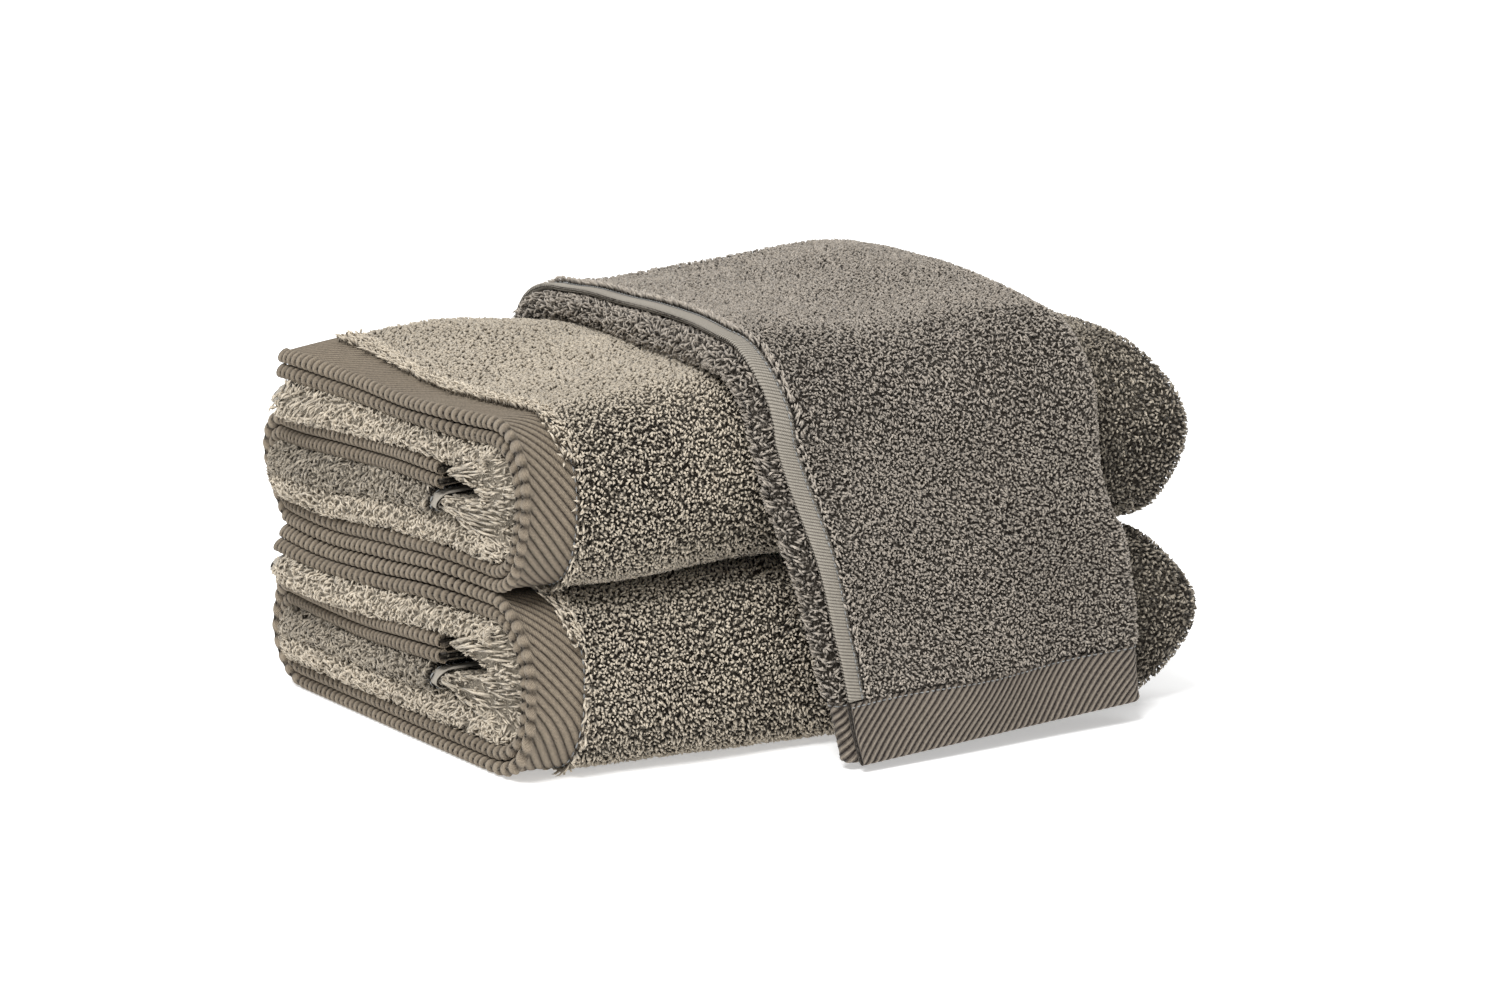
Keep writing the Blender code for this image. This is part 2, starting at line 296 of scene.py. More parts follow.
def terryGrainGroup():
    # round loops close together, pale on top and dark in the gaps, bent by a little noise; the
    # dark gaps are painted shade between the loops, and the paler the tone, the less of this
    # painted shade
    group, start, end = newGroup(
        "terryGrainAndGapShade",
        [
            ("Grain Scale", numberKind, 420.0),
            ("Tone", numberKind, 0.7),
        ],
        [("Tone", numberKind), ("Height", numberKind)],
    )
    nodes, links = group.nodes, group.links
    place = nodes.new("ShaderNodeTexCoord")
    noise = addNoise(group, patterns["grainBendScale"], patterns["grainBendDetail"])
    bend = nodes.new("ShaderNodeVectorMath")
    bend.operation = "MULTIPLY_ADD"
    bend.inputs[1].default_value = [patterns["grainBend"]] * 3
    links.new(noise.outputs["Color"], bend.inputs[0])
    links.new(place.outputs["Object"], bend.inputs[2])
    cells = nodes.new("ShaderNodeTexVoronoi")
    links.new(bend.outputs[0], cells.inputs["Vector"])
    links.new(start.outputs["Grain Scale"], cells.inputs["Scale"])
    rise = nodes.new("ShaderNodeMapRange")
    rise.interpolation_type = "SMOOTHSTEP"
    rise.inputs["From Min"].default_value = patterns["grainGap"]
    rise.inputs["From Max"].default_value = patterns["grainTop"]
    links.new(cells.outputs["Distance"], rise.inputs["Value"])
    # the painted shade in the gaps goes no darker than the tone less the grain fill
    least = addMath(group, "SUBTRACT", start.outputs["Tone"], patterns["grainFill"])
    filled = addMath(group, "MAXIMUM", rise.outputs["Result"], least)
    toned = addMath(group, "MULTIPLY", filled, start.outputs["Tone"])
    links.new(toned, end.inputs["Tone"])
    links.new(rise.outputs["Result"], end.inputs["Height"])
    return group


yarnTone = yarnToneGroup()
threadRelief = threadReliefGroup()
terryGrainAndGapShade = terryGrainGroup()


def clothMaterial(name, dark, pale, patches, flecks, roughness, sheen, relief=0.0, grain=0.0):
    # the tone attribute runs from dark to pale; relief adds fine threads as bump, and a grain
    # scale adds drawn loops between the modelled ones, with painted shade in their gaps
    material = bpy.data.materials.new(name)
    material.use_nodes = True
    nodes, links = material.node_tree.nodes, material.node_tree.links
    shader = nodes["Principled BSDF"]
    colour = nodes.new("ShaderNodeGroup")
    colour.node_tree = yarnTone
    colour.inputs["Dark"].default_value = (*dark, 1.0)
    colour.inputs["Pale"].default_value = (*pale, 1.0)
    colour.inputs["Patches"].default_value = patches
    colour.inputs["Flecks"].default_value = flecks
    tone = nodes.new("ShaderNodeAttribute")
    tone.attribute_name = "tone"
    toneSocket = tone.outputs["Fac"]
    height, distance = None, patterns["threadHeight"]
    if grain > 0.0:
        grains = nodes.new("ShaderNodeGroup")
        grains.node_tree = terryGrainAndGapShade
        grains.inputs["Grain Scale"].default_value = grain
        links.new(toneSocket, grains.inputs["Tone"])
        toneSocket = grains.outputs["Tone"]
        height, distance = grains.outputs["Height"], patterns["grainHeight"]
    elif relief > 0.0:
        threads = nodes.new("ShaderNodeGroup")
        threads.node_tree = threadRelief
        height = threads.outputs["Height"]
    links.new(toneSocket, colour.inputs["Tone"])
    links.new(colour.outputs["Color"], shader.inputs["Base Color"])
    shader.inputs["Roughness"].default_value = roughness
    shader.inputs["Specular IOR Level"].default_value = patterns["specular"]
    shader.inputs["Sheen Weight"].default_value = sheen
    shader.inputs["Sheen Roughness"].default_value = patterns["sheenRoughness"]
    if height:
        bump = nodes.new("ShaderNodeBump")
        bump.inputs["Strength"].default_value = relief
        bump.inputs["Distance"].default_value = distance
        links.new(height, bump.inputs["Height"])
        links.new(bump.outputs["Normal"], shader.inputs["Normal"])
    return material


finishes = {
    "bathPile": clothMaterial(
        "taupePile", (0.022, 0.016, 0.010), (0.71, 0.625, 0.50),
        patches=0.25, flecks=0.30, roughness=0.9, sheen=0.15),
    "handPile": clothMaterial(
        "warmGreyPile", (0.026, 0.021, 0.016), (0.50, 0.443, 0.375),
        patches=0.30, flecks=0.30, roughness=0.9, sheen=0.15),
    "bathGround": clothMaterial(
        "taupeGround", (0.012, 0.009, 0.006), (0.50, 0.44, 0.35),
        patches=0.3, flecks=0.3, roughness=0.95, sheen=0.0, relief=0.8, grain=640.0),
    "handGround": clothMaterial(
        "warmGreyGround", (0.020, 0.016, 0.012), (0.41, 0.363, 0.310),
        patches=0.2, flecks=0.3, roughness=0.95, sheen=0.0, relief=0.8, grain=720.0),
    "bathTwill": clothMaterial(
        "taupeTwill", (0.026, 0.018, 0.011), (0.315, 0.258, 0.190),
        patches=0.2, flecks=0.75, roughness=0.85, sheen=0.1, relief=0.9),
    "handTwill": clothMaterial(
        "darkTwill", (0.030, 0.023, 0.019), (0.33, 0.28, 0.225),
        patches=0.2, flecks=0.55, roughness=0.85, sheen=0.1, relief=0.7),
    "sideTwill": clothMaterial(
        "paleSideTwill", (0.10, 0.088, 0.072), (0.40, 0.365, 0.31),
        patches=0.2, flecks=0.3, roughness=0.85, sheen=0.1, relief=0.5),
    "thread": clothMaterial(
        "blueGreyThread", (0.10, 0.10, 0.10), (0.36, 0.37, 0.37),
        patches=0.1, flecks=0.4, roughness=0.7, sheen=0.1),
}

floorMaterial = bpy.data.materials.new("paleFloor")
floorMaterial.use_nodes = True
floorShader = floorMaterial.node_tree.nodes["Principled BSDF"]
floorShader.inputs["Base Color"].default_value = (*[studio["floorTone"]] * 3, 1.0)
floorShader.inputs["Roughness"].default_value = studio["floorRoughness"]
floorShader.inputs["Emission Color"].default_value = (1.0, 1.0, 1.0, 1.0)
floorShader.inputs["Emission Strength"].default_value = studio["floorGlow"]
half, level = studio["floorHalf"], studio["floorZ"]
floorCorners = [
    [-half, -half, level], [half, -half, level], [half, half, level], [-half, half, level]
]
floor = buildMesh(
    "studioFloor", np.array(floorCorners), [np.array([[0, 1, 2, 3]])], floorMaterial
)
floor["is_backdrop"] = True

# the folded cloths: a runs along the towel's profile (in X and height), s along its path
# (in Y and Z), and lift is above the cloth's middle, towards the face that shows
bath = {
    "length": 1.40,
    "width": 0.70,
    "thickness": 0.0058,
    "air": 0.0013,
    "setback": 0.025,
    "seenTo": 0.168,
    "endClearance": 0.002,
    "foldSetback": 0.0005,
    "squareness": 2.3,
    "footSquareness": 3.4,
    "sink": 0.07,
    "sinkLength": 0.12,
    "endPull": 0.024,
    "endPullLength": 0.11,
    "innerEndPushed": 0.040,
}

# at the left end the pile fold crumples into lobes inside the front bend, and the inner folds
# stand out at the back and where the cloth's inner side ends; each move fades out to the right
leftEnd = {
    "lobes": 0.062,
    "lobePower": 0.8,
    "lobeLevel": 0.66,
    "lobeRipple": 0.34,
    "lobeCount": 2.5,
    "lobePhase": 0.12,
    "lobesTo": 0.09,
    "backMove": 0.006,
    "backFrom": 0.08,
    "backOver": 0.15,
    "backTo": 0.05,
    "endMove": 0.005,
    "endOver": 0.018,
    "endTo": 0.03,
}
hand = {
    "length": 0.71,
    "width": 0.52,
    "air": 0.0009,
    "left": 0.138,
    "inset": -0.001,
    "innerRadius": 0.026,
    "clearance": 0.0012,
    "frontLift": 0.003,
    "floorClearance": 0.0005,
    "floorRadius": 0.024,
    "lean": -0.0045,
    "rightLift": 0.007,
    "taper": 0.045,
    "skew": (0.0, 0.007, 0.018, 0.029, 0.035, 0.0),
    "flareLeft": 0.030,
    "flareRight": 0.010,
}
hem = {
    "depth": 0.028,
    "thickness": 0.0034,
    "sideWidth": 0.009,
    "sideThickness": 0.0030,
    "roll": 0.0028,
    "handRoll": 0.0019,
    "sideRoll": 0.0015,
    "gap": 0.0005,
}


def makeRoute(start, heading, steps):
    # columns: distance at which each step starts, its place, heading, turn per metre, stretch
    rows = []
    gone, (x, y) = 0.0, start
    for size, angle, stretch in steps:
        if angle == 0.0:
            rows.append((gone, x, y, heading, 0.0, stretch))
            x += size * stretch * math.cos(heading)
            y += size * stretch * math.sin(heading)
            gone += size
        else:
            bend = math.copysign(1.0 / size, angle)
            rows.append((gone, x, y, heading, bend, 1.0))
            x += (math.sin(heading + angle) - math.sin(heading)) / bend
            y -= (math.cos(heading + angle) - math.cos(heading)) / bend
            heading += angle
            gone += size * abs(angle)
    return np.array(rows).T


def along(route, distance, offset):
    # a run goes straight on, a turn goes round its centre, and offset lies to the left
    step = np.searchsorted(route[0], distance, side="right") - 1
    begin, x, y, heading, bend, stretch = route[:, np.clip(step, 0, route.shape[1] - 1)]
    gone = (distance - begin) * stretch
    turned = heading + bend * gone
    straight = bend == 0.0
    rounding = np.where(straight, 1.0, bend)
    acrossTurn, alongTurn = np.sin(turned) - np.sin(heading), np.cos(heading) - np.cos(turned)
    dx = np.where(straight, gone * np.cos(heading), acrossTurn / rounding)
    dy = np.where(straight, gone * np.sin(heading), alongTurn / rounding)
    return x + dx - offset * np.sin(turned), y + dy + offset * np.cos(turned)


pitch = bath["thickness"] + bath["air"]
band = 4 * pitch
stackStep = 3 * band
cadTurnStep = math.radians(30.0)
mitre = 1.0 / math.cos(cadTurnStep / 2)
foldX = pitch / 2 + mitre * bath["thickness"] / 2 + bath["foldSetback"]
turnX = (bath["length"] + 2 * foldX - 2.5 * math.pi * pitch) / 4
stackLength = turnX + 1.5 * pitch + bath["thickness"] / 2
frontCentre = 1.5 * band
innerEndY = frontCentre + bath["endClearance"]
rounds = math.pi * 1.5 * band
stackDepth = (bath["width"] - rounds + innerEndY + bath["setback"] + 5 * band) / 3
innerRun = stackDepth - band - innerEndY
bottomRun = stackDepth - band - frontCentre
stackTop = 2 * stackStep - bath["air"]
squeezed = 1.0 - bath["innerEndPushed"] / innerRun

bathProfile = makeRoute((0.0, 1.5 * pitch), 0.0, [
    (turnX, 0.0, 1.0),
    (1.5 * pitch, -math.pi, 1.0),
    (turnX - foldX, 0.0, 1.0),
    (0.5 * pitch, -math.pi, 1.0),
    (turnX - foldX, 0.0, 1.0),
    (0.5 * pitch, math.pi, 1.0),
    (turnX, 0.0, 1.0),
])
bathPath = makeRoute((innerEndY + bath["innerEndPushed"], 1.5 * band), 0.0, [
    (innerRun, 0.0, squeezed),
    (band / 2, -math.pi, 1.0),
    (bottomRun, 0.0, 1.0),
    (band, -math.pi, 1.0),
    (stackDepth, 0.0, 1.0),
])
# distances along the profile and the path at which the shapes change
rightTurn = (turnX, turnX + 1.5 * math.pi * pitch)
leftFoldStart = rightTurn[1] + turnX - foldX
leftFold = (leftFoldStart, leftFoldStart + 0.5 * math.pi * pitch)
backBend = (innerRun, innerRun + math.pi * band / 2)
frontBend = (backBend[1] + bottomRun, backBend[1] + bottomRun + math.pi * band)

handPitch = bath["thickness"] + hand["air"]
handMiddle = hand["clearance"] + bath["thickness"] / 2 + handPitch
handFoldX = hand["left"] + handPitch / 2 + mitre * bath["thickness"] / 2
handRounds = 1.5 * math.pi * handPitch
handPanel = (hand["width"] + hand["inset"] + bath["endClearance"] - handRounds) / 3
handFrontY = -handMiddle
handBackY = stackDepth + handMiddle
handTopZ = stackTop + handMiddle
handTailZ = hand["floorClearance"] + bath["thickness"] / 2 + handPitch
handRadius = hand["innerRadius"] + handMiddle
frontHang = handTopZ - handRadius - hand["frontLift"]

handProfile = makeRoute((handFoldX + hand["inset"], handPitch), 0.0, [
    (handPanel - hand["inset"], 0.0, 1.0),
    (handPitch, -math.pi, 1.0),
    (handPanel, 0.0, 1.0),
    (0.5 * handPitch, -math.pi, 1.0),
    (handPanel, 0.0, 1.0),
])
handPath = makeRoute((handFrontY, hand["frontLift"]), math.pi / 2, [
    (frontHang, 0.0, 1.0),
    (handRadius, -math.pi / 2, 1.0),
    (handBackY - handFrontY - 2 * handRadius, 0.0, 1.0),
    (handRadius, -math.pi / 2, 1.0),
    (handTopZ - handRadius - hand["floorRadius"] - handTailZ, 0.0, 1.0),
    (hand["floorRadius"], math.pi / 2, 1.0),
    (hand["length"], 0.0, 1.0),
])
handRightTurn = (handPanel - hand["inset"], handPanel - hand["inset"] + math.pi * handPitch)
handFoldStart = handRightTurn[1] + handPanel
handLeftFold = (handFoldStart, handFoldStart + 0.5 * math.pi * handPitch)

# the skew moves the towel left: at its foot, a third and two thirds up the front, at the
# front's top, past the front bend and at the back, and evenly between
topRun = handBackY - handFrontY - 2 * handRadius
skewPlaces = np.cumsum([0.0, *[frontHang / 3] * 3, handRadius * math.pi / 2, topRun])


def flareAt(x):
    # how far the foot of the front stands off, evenly from the left edge to the right
    share = (x - hand["left"]) / (handPanel + handFoldX - hand["left"])
    return hand["flareLeft"] + (hand["flareRight"] - hand["flareLeft"]) * share


handTurnsLength = float(along(handPath, np.array(hand["length"]), 0.0)[0])
frontMost = (
    handFrontY - handPitch - hem["thickness"] / 2 - float(flareAt(handFoldX + hand["inset"]))
)
backMost = max(handTurnsLength, handBackY + handPitch + bath["thickness"] / 2)
originX = stackLength / 2
originY = (frontMost + backMost) / 2

# slow waves that every cloth shares; the right end sinks a little, and nothing goes under the
# floor
crumple = {
    "seed": 11,
    "waves": 10,
    "longest": 0.17,
    "shortest": 0.05,
    "slope": 0.085,
    "upright": 0.8,
    "floorFade": 0.03,
    "lowest": 0.0001,
    "rightSink": 0.03,
    "rightSinkFrom": 0.25,
    "rightSinkOver": 0.10,
}

# where the pile has settled or bulged: a place, how far the move reaches, and the move
settling = {
    "leftBackTop": ((-0.125, 0.07, 0.170), (0.050, 0.06, 0.05), (-0.003, 0.0, 0.0075)),
    "leftBackUpper": ((-0.17, 0.07, 0.125), (0.05, 0.06, 0.03), (-0.0055, 0.0, 0.0)),
    "leftBackLower": ((-0.17, 0.07, 0.062), (0.04, 0.06, 0.010), (-0.009, 0.0, 0.0)),
    "underDrapeLeft": ((0.0, 0.085, 0.18), (0.045, 0.05, 0.05), (0.0, 0.0, -0.0085)),
    "drapeLeftCorner": ((-0.04, 0.07, 0.19), (0.05, 0.05, 0.02), (-0.006, 0.0, 0.0)),
    "drapeRightBack": ((0.12, 0.01, 0.18), (0.06, 0.06, 0.05), (0.0, 0.0, 0.0095)),
    "upperRightTop": ((0.155, -0.12, 0.165), (0.035, 0.07, 0.03), (0.003, 0.0, 0.0095)),
    "rightNotch": ((0.17, -0.13, 0.084), (0.04, 0.07, 0.010), (0.012, 0.0, 0.0)),
    "upperRightLobe": ((0.17, -0.13, 0.108), (0.04, 0.07, 0.02), (-0.0085, 0.0, 0.0)),
    "lowerRightLobe": ((0.17, -0.13, 0.052), (0.04, 0.07, 0.018), (0.0055, 0.0, 0.0)),
}


def crumpleWaves():
    # slow waves in random directions, each no steeper than the slope
    rng = np.random.default_rng(crumple["seed"])
    count = crumple["waves"]
    lengths = np.geomspace(crumple["shortest"], crumple["longest"], count)
    heading = rng.normal(size=(count, 3))
    heading /= np.linalg.norm(heading, axis=1)[:, None]
    push = rng.normal(size=(count, 3))
    push /= np.linalg.norm(push, axis=1)[:, None]
    wave = heading * (2 * math.pi / lengths)[:, None]
    reach = crumple["slope"] * lengths / (2 * math.pi)
    return wave, rng.uniform(0, 2 * math.pi, count), push * reach[:, None]


waveHeading, wavePhase, wavePush = crumpleWaves()


def settled(x, y, z):
    # sinks the right end a little, places the point round the footprint's middle and moves it
    # by the slow waves and the settling, which fade out towards the floor; every cloth shares
    # them, so neighbours stay neighbours
    atRight = smooth((x - crumple["rightSinkFrom"]) / crumple["rightSinkOver"])
    z = z * (1.0 - crumple["rightSink"] * atRight)
    point = np.stack([x - originX, y - originY, z], axis=-1)
    push = np.sin(point @ waveHeading.T + wavePhase) @ wavePush
    push[..., 2] *= crumple["upright"]
    for middle, reach, move in settling.values():
        nearness = np.exp(-0.5 * (((point - middle) / reach) ** 2).sum(-1))
        push = push + nearness[..., None] * np.array(move)
    moved = point + push * smooth(z / crumple["floorFade"])[..., None]
    moved[..., 2] = np.maximum(moved[..., 2], crumple["lowest"])
    return moved


def bathPoint(base):
    # the profile carried along the path, on a stack that starts at base
    def point(a, s, lift):
        a, s, lift = np.broadcast_arrays(a, s, lift)
        x, rise = along(bathProfile, a, lift)
        middleRise = along(bathProfile, a, np.zeros(a.shape))[1]
        y, z = along(bathPath, s, rise)
        # squarer front bend: each point goes out along its ray to a superellipse
        dy, dz = y - frontCentre, z - frontCentre
        reach = np.maximum(np.hypot(dy, dz), 1e-9)
        square = np.where((dz < 0.0) & (base == 0.0), bath["footSquareness"], bath["squareness"])
        power = np.abs(dy / reach) ** square + np.abs(dz / reach) ** square
        outward = np.where(y < frontCentre, power ** (-1.0 / square), 1.0)
        y, z = frontCentre + dy * outward, frontCentre + dz * outward
        # inside the front bend the pile fold crumples into lobes towards the rolled middle
        share = (s - frontBend[0]) / (frontBend[1] - frontBend[0])
        within = np.sin(math.pi * np.clip(share, 0.0, 1.0)) ** leftEnd["lobePower"]
        turned = 2 * math.pi * (leftEnd["lobeCount"] * share + leftEnd["lobePhase"])
        ridges = leftEnd["lobeLevel"] + leftEnd["lobeRipple"] * np.cos(turned)
        inner = smooth(-middleRise / (1.5 * pitch))
        reaching = 1.0 - smooth(x / leftEnd["lobesTo"])
        y = y + leftEnd["lobes"] * inner * within * ridges * reaching
        # the right end draws in at the bends, and the inner folds stand out at the left
        bendShare = np.clip((s - innerRun) / (backBend[1] - innerRun), 0, 1)
        back = (1.0 - np.cos(math.pi * bendShare)) / 2
        front = np.cos(math.pi * np.clip(share, 0.0, 1.0)) ** 2
        pull = np.where(s < backBend[1], back, front)
        x = x - bath["endPull"] * pull * smooth((x - turnX) / bath["endPullLength"] + 1.0)
        behind = smooth((y - leftEnd["backFrom"]) / leftEnd["backOver"])
        x = x - leftEnd["backMove"] * inner * behind * (1.0 - smooth(x / leftEnd["backTo"]))
        atEnd = 1.0 - smooth(s / leftEnd["endOver"])
        x = x - leftEnd["endMove"] * inner * atEnd * (1.0 - smooth(x / leftEnd["endTo"]))
        floorLevel = bath["thickness"] / 2
        above = z + base - bath["air"] / 2 - floorLevel
        sunk = 1.0 - bath["sink"] * np.maximum(0.0, 1.0 - x / bath["sinkLength"])
        return settled(x, y, floorLevel + above * sunk)

    return point


def handPoint(a, s, lift):
    # the profile carried along the path and skewed; further down the front it is narrower and
    # stands further off the stack, with its right side a little higher
    a, s, lift = np.broadcast_arrays(a, s, lift)
    x, rise = along(handProfile, a, lift)
    y, z = along(handPath, s, rise)
    fall = np.maximum(0.0, 1.0 - s / frontHang)
    middle = handFoldX + handPanel / 2
    leaned = middle + (x - middle) * (1.0 - hand["taper"] * fall) + hand["lean"] * fall
    leaned = leaned - np.interp(s, skewPlaces, hand["skew"])
    lifted = z + hand["rightLift"] * fall * (x - hand["left"]) / handPanel
    return settled(leaned, y - flareAt(x) * fall, lifted)


cloths = {
    "lower": {"point": bathPoint(0.0), "body": "lower_towel", "kind": "bath"},
    "upper": {"point": bathPoint(stackStep), "body": "upper_towel", "kind": "bath"},
    "draped": {"point": handPoint, "body": "draped_towel", "kind": "hand"},
}


def stations(route, total, runStep, turnStep):
    # rows a run step apart on straight runs and a turn step of angle apart round turns
    rows = [0.0, total]
    ends = np.append(route[0][1:], total)
    for begin, bend, end in zip(route[0], route[4], ends):
        end = min(end, total)
        if end <= begin:
            continue
        step = runStep if bend == 0.0 else turnStep / abs(bend)
        count = max(1, math.ceil((end - begin) / step))
        rows.extend(begin + (end - begin) * k / count for k in range(count + 1))
    rows = np.unique(np.round(rows, 7))
    return rows[np.append(True, np.diff(rows) > 1e-5)]


# the woven ground under the pile: how thick it is to each side, and its tone, with painted light
# and shade: paler on top, as painted light from above, and at the pile fold, where the loops part,
# as painted light from the key at the left, and darker at the right end, as painted shade
ground = {
    "runStep": 0.008,
    "profileTurn": math.radians(20),
    "pathTurn": math.radians(12),
    "half": 0.0019,
    "foldHalf": 0.0010,
    "hemHalf": 0.0006,
    "foldReach": 0.016,
    "rightReach": 0.05,
    "tone": 0.58,
    "topPaintedLight": 0.42,
    "foldPaintedLight": 0.48,
    "rightPaintedShade": 0.30,
    "topEarly": 0.04,
    "topOver": 0.055,
    "hemTone": 0.3,
    "handTone": 0.62,
}


def clothGround(name, cloth, length, width):
    # both faces of the folded cloth, closed round its edge
    isBath = cloth["kind"] == "bath"
    profile, path = (bathProfile, bathPath) if isBath else (handProfile, handPath)
    spans = (length, width) if isBath else (width, length)
    a = stations(profile, spans[0], ground["runStep"], ground["profileTurn"])
    s = stations(path, spans[1], ground["runStep"], ground["pathTurn"])
    aa, ss = np.meshgrid(a, s, indexing="ij")
    if isBath:
        fromEnd = np.minimum(aa, length - aa)
        fromSide = np.minimum(ss, width - ss)
    else:
        fromEnd = np.minimum(ss, length - ss)
        fromSide = np.minimum(aa, width - aa)
    inHem = (fromEnd < hem["depth"]) | (fromSide < hem["sideWidth"])
    if isBath:
        nearFold = np.exp(-(((aa - sum(leftFold) / 2) / ground["foldReach"]) ** 4))
        onTop = smooth((ss - frontBend[1] + ground["topEarly"]) / ground["topOver"])
        atRight = np.exp(-(((aa - sum(rightTurn) / 2) / ground["rightReach"]) ** 4))
        # painted light: the ground is paler on top and at the left fold; painted shade: darker at
        # the right end
        topTone = ground["tone"] + ground["topPaintedLight"] * onTop
        foldTone = ground["tone"] + ground["foldPaintedLight"] * nearFold
        tone = np.maximum(topTone, foldTone) - ground["rightPaintedShade"] * atRight
        half = ground["half"] + ground["foldHalf"] * nearFold
    else:
        tone = ground["handTone"]
        half = ground["half"]
    tone = np.where(inHem, ground["hemTone"], tone)
    half = np.where(inHem, ground["hemHalf"], half)
    outer = cloth["point"](aa, ss, half)
    inner = cloth["point"](aa, ss, -half)
    rows, columns = aa.shape
    total = rows * columns
    top = gridFaces(rows, columns)
    under = top[:, ::-1] + total
    first = np.arange(rows) * columns
    last = first + columns - 1
    near = np.arange(columns)
    far = near + (rows - 1) * columns
    edges = [
        np.stack([line[:-1], line[:-1] + total, line[1:] + total, line[1:]], 1)
        for line in (first, last[::-1], near[::-1], far)
    ]
    uv = np.stack([aa, ss], -1)
    return buildMesh(
        name, np.stack([outer, inner]), [np.concatenate([top, under, *edges])],
        finishes[cloth["kind"] + "Ground"], cloth["body"],
        shade=np.stack([tone, tone]), flatUv=np.stack([uv, uv]),
    )


print("woven grounds")
grounds = {
    "lower": clothGround("lower_cloth", cloths["lower"], bath["length"], bath["width"]),
    "upper": clothGround("upper_cloth", cloths["upper"], bath["length"], bath["width"]),
    "draped": clothGround("draped_cloth", cloths["draped"], hand["length"], hand["width"]),
}
withCloth = {"lower": [], "upper": [], "draped": []}

# a bent loop has two rings of three points between its root and tip, a grain has one ring;
# their shades run from the dark root to the pale tip, as painted shade down among the loops
loopFaces = np.array([
    [0, 2, 1], [0, 3, 2], [0, 1, 3],
    [1, 2, 5], [1, 5, 4], [2, 3, 6], [2, 6, 5], [3, 1, 4], [3, 4, 6],
    [4, 5, 7], [5, 6, 7], [6, 4, 7],
])
loopRise = np.array([0.0, 0.3, 0.3, 0.3, 0.9, 0.9, 0.9, 1.0])
grainFaces = np.array([[0, 2, 1], [0, 3, 2], [0, 1, 3], [1, 2, 4], [2, 3, 4], [3, 1, 4]])
grainRise = np.array([0.0, 0.7, 0.7, 0.7, 1.0])
lowRingShare = 0.8

# how the loops differ from each other: the least and most share of the pile's own value; and
# where a loop's rings and tip lie, as shares of its lean and of its height
growth = {
    "jitter": 0.42,
    "stagger": 0.25,
    "height": (0.78, 1.18),
    "reach": (0.35, 1.25),
    "width": (0.8, 1.2),
    "low": (0.12, 0.40),
    "high": (0.66, 0.84),
    "tip": (1.08, 1.0),
    "root": 0.0012,
    "mostInPiece": 16000,
}


def loopShapes(root, low, high, tip, radius, rng, grain=False):
    # eight points a loop, five a grain; the rings stand across the line from root to tip
    axis = tip - root
    axis /= np.linalg.norm(axis, axis=1)[:, None]
    side = np.cross(axis, rng.normal(size=axis.shape))
    side /= np.linalg.norm(side, axis=1)[:, None]
    other = np.cross(axis, side)
    turns = np.arange(3) * 2 * math.pi / 3
    ring = side[:, None] * np.cos(turns)[:, None] + other[:, None] * np.sin(turns)[:, None]
    points = np.empty((len(root), 5 if grain else 8, 3))
    points[:, 0] = root
    points[:, -1] = tip
    if grain:
        middle = (low + 2 * high) / 3
        points[:, 1:4] = middle[:, None] + ring * radius[:, None, None]
        return points
    points[:, 1:4] = low[:, None] + ring * (lowRingShare * radius)[:, None, None]
    points[:, 4:7] = high[:, None] + ring * radius[:, None, None]
    return points


